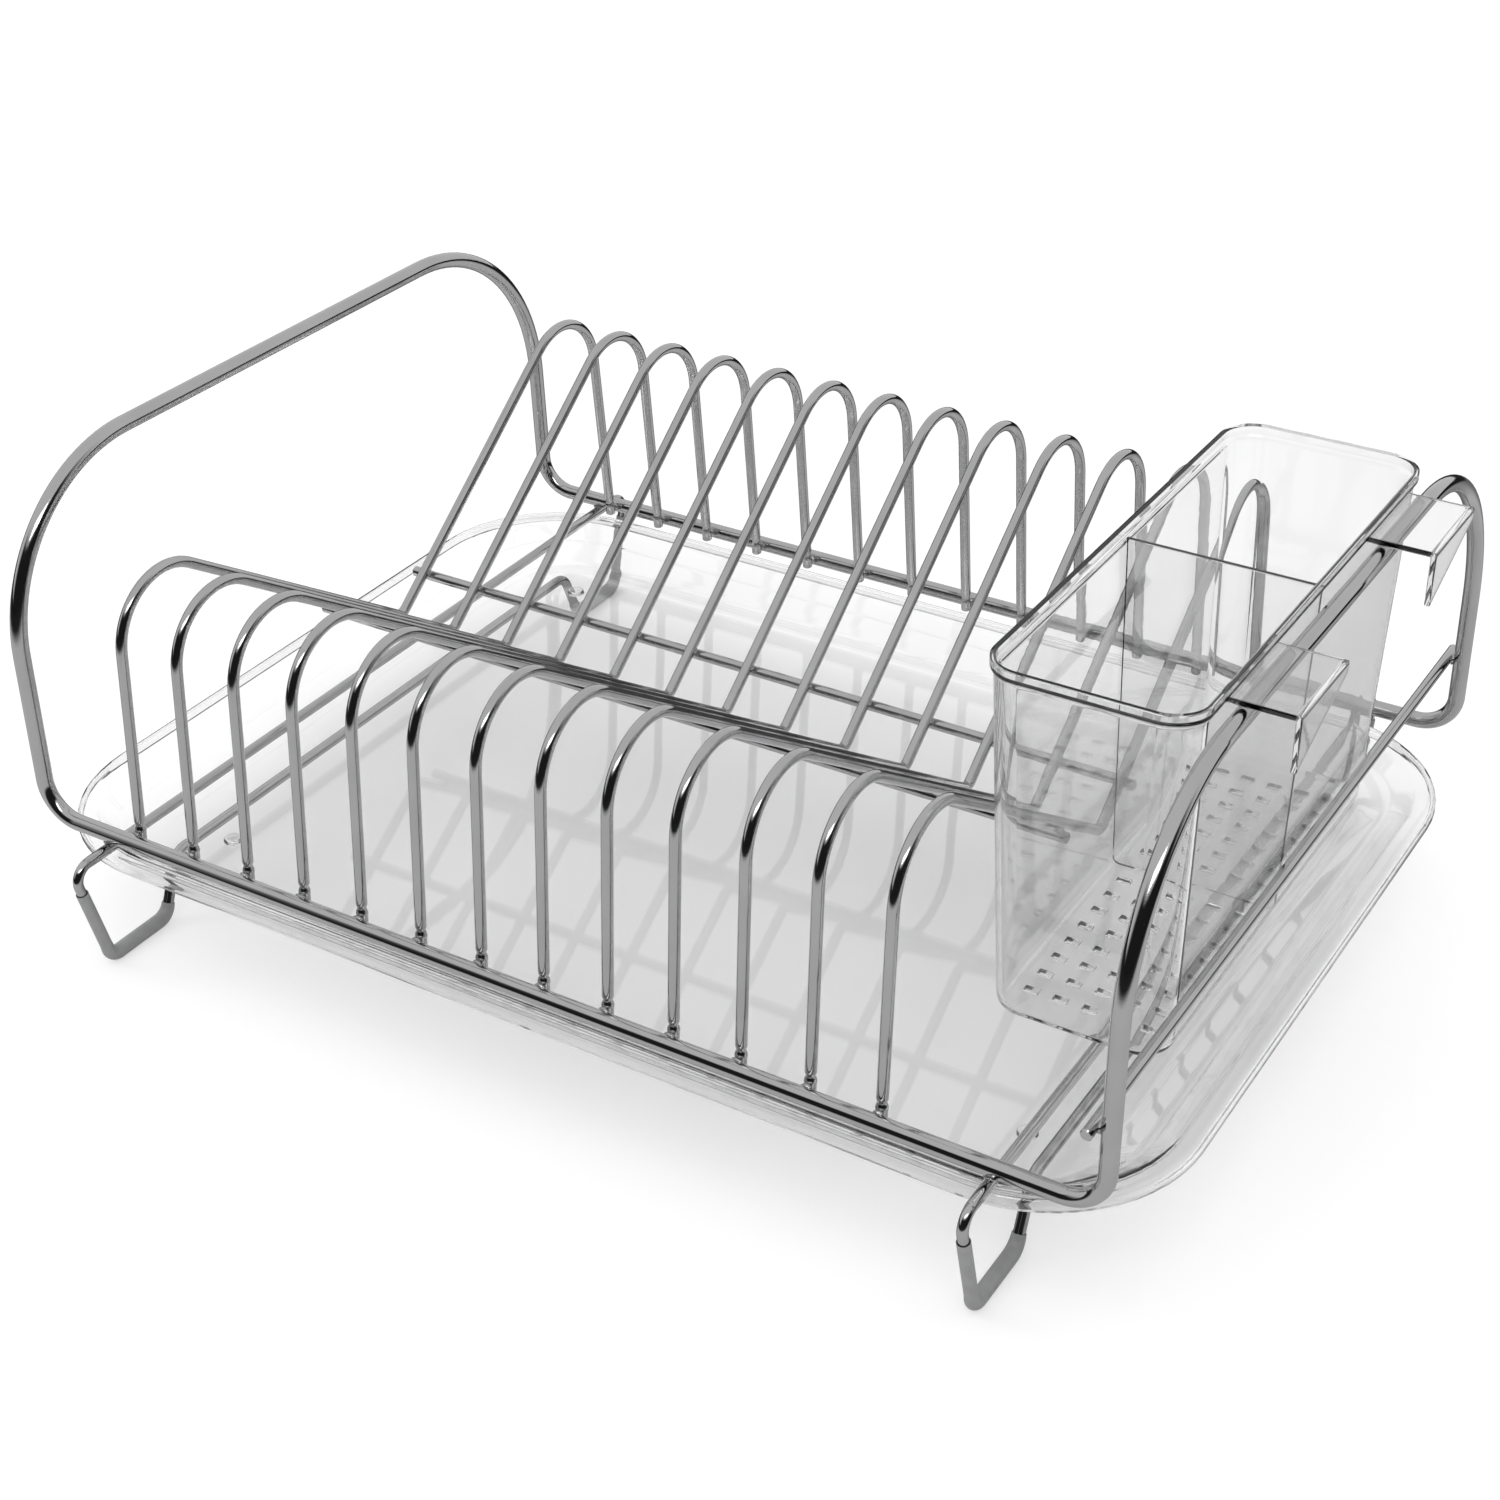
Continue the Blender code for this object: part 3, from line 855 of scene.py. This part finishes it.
CADDY_SOFTENING = 0.0009
SOLE_INSET = 0.0030
SOLE_TURN = (0.0006, 0.0012)    # inset and height of the middle of the turn from sole to wall
SOLE_RISE = 0.0040
SHOULDER_DROP = 0.0050          # from the rim down to where the wall starts to turn out
BEAD_DROP = 0.0040
DIVIDER_FOOT = (0.0034, 0.0009)
DIVIDER_FOOT_RISE = 0.0045
DIVIDER_ROUNDING = 0.0004
HOOK_ROUNDING = 0.0005
HOOK_REAR_DROP = 0.0020
HOLE_MARGIN = 0.0150
HOLE_CUT = (-0.002, 0.004)      # how far a cut reaches below and above the floor's underside


def caddy_divider(base, shoulder, rim):
    """A wall across the caddy that widens upwards with its sides."""
    half = CADDY_WALL / 2
    inset, rise = DIVIDER_FOOT
    edge = [
        (base[0] + inset, base[1] - inset, CADDY_FLOOR_Z + rise),
        (base[0] + half, base[1] - half, CADDY_FLOOR_Z + DIVIDER_FOOT_RISE),
        (shoulder[0] + half, shoulder[1] - half, CADDY_RIM_Z - SHOULDER_DROP),
        (rim[0] + half, rim[1] - half, DIVIDER_TOP_Z),
    ]
    outline = [(x, z) for x, _, z in edge] + [(x, z) for _, x, z in reversed(edge)]
    bm = bmesh.new()
    plate(bm, outline, DIVIDER_Y - half, DIVIDER_Y + half)
    return shape_tool("caddy_divider_tool", bm, DIVIDER_ROUNDING)


def caddy_hook(index, y0, y1):
    """A flat hook over the handle rod, whose outer lip is cut short at the rear."""
    under = HANDLE_Z + FRAME_R + GAP
    over = under + HOOK_PLATE
    x0 = CADDY_RIM[1] - CADDY_BEAD - CADDY_WALL / 4
    x1 = HOOK_REACH_X
    outline = [(x0, under), (x1 - HOOK_PLATE, under), (x1 - HOOK_PLATE, over - HOOK_DROP)]
    outline += [(x1, over - HOOK_DROP), (x1, over), (x0, over)]
    bm = bmesh.new()
    near = [bm.verts.new((x, y0, z)) for x, z in outline]
    far = [bm.verts.new((x, y1, max(z, under - HOOK_REAR_DROP))) for x, z in outline]
    bm.faces.new(near)
    bm.faces.new(far)
    bridge(bm, near, far)
    return shape_tool(f"caddy_hook_tool_{index}", bm, HOOK_ROUNDING)


def caddy_holes(base):
    """Rows of small drain slots, left out under the divider."""
    bm = bmesh.new()
    rows = int((base[3] - base[2] - 2 * HOLE_MARGIN) / HOLE_PITCH) + 1
    dx, dy = HOLE_SIZE[0] / 2, HOLE_SIZE[1] / 2
    low, high = (CADDY_FLOOR_Z + reach for reach in HOLE_CUT)
    for i in range(HOLE_COLUMNS):
        x = (base[0] + base[1]) / 2 + (i - (HOLE_COLUMNS - 1) / 2) * HOLE_PITCH
        for j in range(rows):
            y = (base[2] + base[3]) / 2 + (j - (rows - 1) / 2) * HOLE_PITCH
            if abs(y - DIVIDER_Y) < HOLE_SIZE[1] + CADDY_WALL / 2:
                continue
            outline = [(x - dx, low), (x + dx, low), (x + dx, high), (x - dx, high)]
            plate(bm, outline, y - dy, y + dy)
    return shape_tool("caddy_hole_tool", bm)


def draw_in(box, inset):
    """An (x0, x1, y0, y1) box made smaller all round."""
    return (box[0] + inset, box[1] - inset, box[2] + inset, box[3] - inset)


def cutlery_caddy():
    """A tapered cup with a thickened rim, a divider, drain slots and two hooks."""
    base, rim = CADDY_FLOOR, CADDY_RIM
    shoulder = draw_in(rim, CADDY_BEAD)

    def level(inside, z, radius):
        return (inside[0] - rim[0], inside[2] - rim[2], z, radius)

    turn, rise = SOLE_TURN
    levels = [
        level(draw_in(base, SOLE_INSET), CADDY_FLOOR_Z, CADDY_CORNER_R - SOLE_INSET),
        level(draw_in(base, turn), CADDY_FLOOR_Z + rise, CADDY_CORNER_R - turn),
        level(base, CADDY_FLOOR_Z + SOLE_RISE, CADDY_CORNER_R),
        level(shoulder, CADDY_RIM_Z - SHOULDER_DROP, CADDY_CORNER_R),
        level(rim, CADDY_RIM_Z - BEAD_DROP, CADDY_CORNER_R + CADDY_BEAD),
        level(rim, CADDY_RIM_Z, CADDY_CORNER_R + CADDY_BEAD),
    ]
    bm = bmesh.new()
    vessel(bm, rim, soften(levels, CADDY_SOFTENING), CADDY_WALL)
    caddy = piece("clear_cutlery_caddy", bm, CLEAR_CADDY, "caddy", ["cutlery_caddy"])
    divider = caddy_divider(base, shoulder, rim)
    holes = caddy_holes(base)
    hooks = [caddy_hook(k + 1, *edges) for k, edges in enumerate(HOOK_EDGES)]
    join_tools(caddy, [divider], "UNION", "EXACT")
    join_tools(caddy, [holes], "DIFFERENCE", "EXACT")
    join_tools(caddy, hooks, "UNION", "MANIFOLD")
    settle(caddy, crease=40.0)
    for tool in [divider, holes, *hooks]:
        bpy.data.objects.remove(tool)
    keep_flats_flat(caddy)


drip_tray()
cutlery_caddy()


# ---------------------------------------------------------------- floor, light and camera
CAMERA_AZIMUTH = math.radians(31.8)
TOWARDS_CAMERA = (math.sin(CAMERA_AZIMUTH), -math.cos(CAMERA_AZIMUTH), 0.0)
BACKDROP_WHITE = 1.05

FLOOR_HALF_SIDE = 12.0
FLOOR_TONE = 0.95
# Painted reflection: tones the floor has only for rays mirrored off the chrome and the plastic
MIRRORED_TONE = 0.66            # of the floor as the chrome sees it
SLANT_LIMITS = (0.20, 0.38)
SLANT_TONE = 0.02
FAR_SIDE_LIMITS = (0.78, 0.35)
FAR_SIDE_TONE = 0.16
FADE_LIMITS = (-0.10, 0.55)


def floor_finish():
    """White, and painted darker in reflections: most of all at a slant and on the side away from view."""
    mat = bpy.data.materials.new("pale_floor")
    mat.use_nodes = True
    tree = mat.node_tree
    shader = tree.nodes["Principled BSDF"]
    shader.inputs["Roughness"].default_value = 1.0
    shader.inputs["Specular IOR Level"].default_value = 0.0
    path = place(tree, "ShaderNodeLightPath").outputs
    where = place(tree, "ShaderNodeNewGeometry").outputs
    slant = remap(tree, upward(tree, where["Incoming"]), SLANT_LIMITS, (SLANT_TONE, MIRRORED_TONE))
    heading = dot(tree, where["Incoming"], TOWARDS_CAMERA)
    far_side = remap(tree, heading, FAR_SIDE_LIMITS, (FAR_SIDE_TONE, MIRRORED_TONE))
    # Painted reflection: the floor is darkened only as mirrored rays see it, which gives the chrome its
    # mid grey and its dark lines
    darkest = maths(tree, "MINIMUM", far_side, slant)
    mirrored = maths(tree, "MULTIPLY", path["Is Glossy Ray"], path["Is Reflection Ray"])
    tone = mix_colours(tree, mirrored, grey(FLOOR_TONE), darkest)
    join(tree, tone, shader.inputs["Base Color"])
    reach = place(tree, "ShaderNodeVectorMath", operation="LENGTH")
    join(tree, where["Position"], reach.inputs[0])
    away = remap(tree, reach.outputs["Value"], FADE_LIMITS, (0.0, 1.0))
    seen_away = maths(tree, "MULTIPLY", away, path["Is Camera Ray"])
    glow = place(tree, "ShaderNodeEmission", Color=grey(1.0), Strength=BACKDROP_WHITE)
    surface = mix_shaders(tree, seen_away, shader.outputs["BSDF"], glow.outputs["Emission"])
    join(tree, surface, tree.nodes["Material Output"].inputs["Surface"])
    return mat


def studio_floor():
    bm = bmesh.new()
    bmesh.ops.create_grid(bm, x_segments=1, y_segments=1, size=FLOOR_HALF_SIDE)
    mesh = bpy.data.meshes.new("pale_floor")
    bm.to_mesh(mesh)
    bm.free()
    mesh.materials.append(floor_finish())
    floor = bpy.data.objects.new("pale_floor", mesh)
    bpy.context.scene.collection.objects.link(floor)


SKY = 0.90
DARK_ROOM = 0.02
DARK_BELOW_LIMITS = (0.66, 0.52)
NEAR_SIDE_LIMITS = (0.0, 0.45)
EASED_THROUGH_PLASTIC = 0.8


def studio_world():
    """A pale room, dark low down on the near side, and plain white where it is seen directly.

    The dark side gives the chrome its dark lines, and is paler where it is seen through plastic.
    """
    world = bpy.data.worlds.new("studio")
    bpy.context.scene.world = world
    world.use_nodes = True
    tree = world.node_tree
    tree.nodes.clear()
    way = place(tree, "ShaderNodeTexCoord").outputs["Generated"]
    path = place(tree, "ShaderNodeLightPath").outputs
    below = remap(tree, upward(tree, way), DARK_BELOW_LIMITS, (0.0, 1.0))
    near = remap(tree, dot(tree, way, TOWARDS_CAMERA), NEAR_SIDE_LIMITS, (0.0, 1.0))
    easing = maths(tree, "MULTIPLY", path["Is Transmission Ray"], EASED_THROUGH_PLASTIC)
    kept = maths(tree, "SUBTRACT", 1.0, easing)
    dark = maths(tree, "MULTIPLY", maths(tree, "MULTIPLY", below, near), kept)
    tone = mix_colours(tree, dark, grey(SKY), grey(DARK_ROOM))
    room = place(tree, "ShaderNodeBackground", Strength=1.0)
    join(tree, tone, room.inputs["Color"])
    seen = place(tree, "ShaderNodeBackground", Color=grey(1.0), Strength=BACKDROP_WHITE)
    surface = mix_shaders(
        tree, path["Is Camera Ray"], room.outputs["Background"], seen.outputs["Background"])
    join(tree, surface, place(tree, "ShaderNodeOutputWorld").inputs["Surface"])


RACK_MIDDLE = Vector((0.0, 0.0, 0.08))


def softbox(name, azimuth, elevation, distance, size, radiance, mirrored=True):
    """An area lamp aimed at the rack; azimuth 0 stands in front of it and 90 at its right end.

    A lamp that isn't mirrored lights the rack without being seen in the chrome or the plastic.
    """
    a, e = math.radians(azimuth), math.radians(elevation)
    away = Vector((math.sin(a) * math.cos(e), -math.cos(a) * math.cos(e), math.sin(e)))
    data = bpy.data.lights.new(name, "AREA")
    data.shape = "RECTANGLE"
    data.size, data.size_y = size
    data.energy = radiance * math.pi * size[0] * size[1]
    lamp = bpy.data.objects.new(name, data)
    lamp.location = away * distance + RACK_MIDDLE
    lamp.rotation_mode = "QUATERNION"
    lamp.rotation_quaternion = away.to_track_quat("Z", "Y")
    lamp.visible_glossy = mirrored
    lamp.visible_transmission = mirrored
    lamp.visible_camera = False
    bpy.context.scene.collection.objects.link(lamp)


CAMERA_PLACE = (0.4165, -0.6817, 0.5550)
CAMERA_RIGHT = (0.85361, 0.52077, -0.01207)
CAMERA_DOWN = (0.26587, -0.45549, -0.84961)
CAMERA_LENS = 61.7
CAMERA_SENSOR = 36.0
CAMERA_CLIP_START = 0.01
LIGHT_BOUNCES = 18


def camera():
    data = bpy.data.cameras.new("camera")
    data.lens = CAMERA_LENS
    data.sensor_width = CAMERA_SENSOR
    data.clip_start = CAMERA_CLIP_START
    obj = bpy.data.objects.new("camera", data)
    right = Vector(CAMERA_RIGHT).normalized()
    up = -Vector(CAMERA_DOWN)
    up = (up - right * up.dot(right)).normalized()
    turn = Matrix((right, up, right.cross(up))).transposed()
    obj.matrix_world = Matrix.Translation(CAMERA_PLACE) @ turn.to_4x4()
    bpy.context.scene.collection.objects.link(obj)
    bpy.context.scene.camera = obj


studio_floor()
studio_world()
softbox("front_softbox", azimuth=28.0, elevation=46.0, distance=2.2, size=(1.5, 0.45), radiance=5.0)
softbox("left_softbox", azimuth=-62.0, elevation=40.0, distance=2.2, size=(0.7, 1.0), radiance=3.0,
        mirrored=False)
softbox("overhead_fill", azimuth=0.0, elevation=88.0, distance=2.4, size=(2.6, 2.6), radiance=0.80,
        mirrored=False)
camera()
bpy.context.scene.view_settings.view_transform = "Standard"
bpy.context.scene.cycles.max_bounces = LIGHT_BOUNCES
bpy.context.scene.cycles.transmission_bounces = LIGHT_BOUNCES
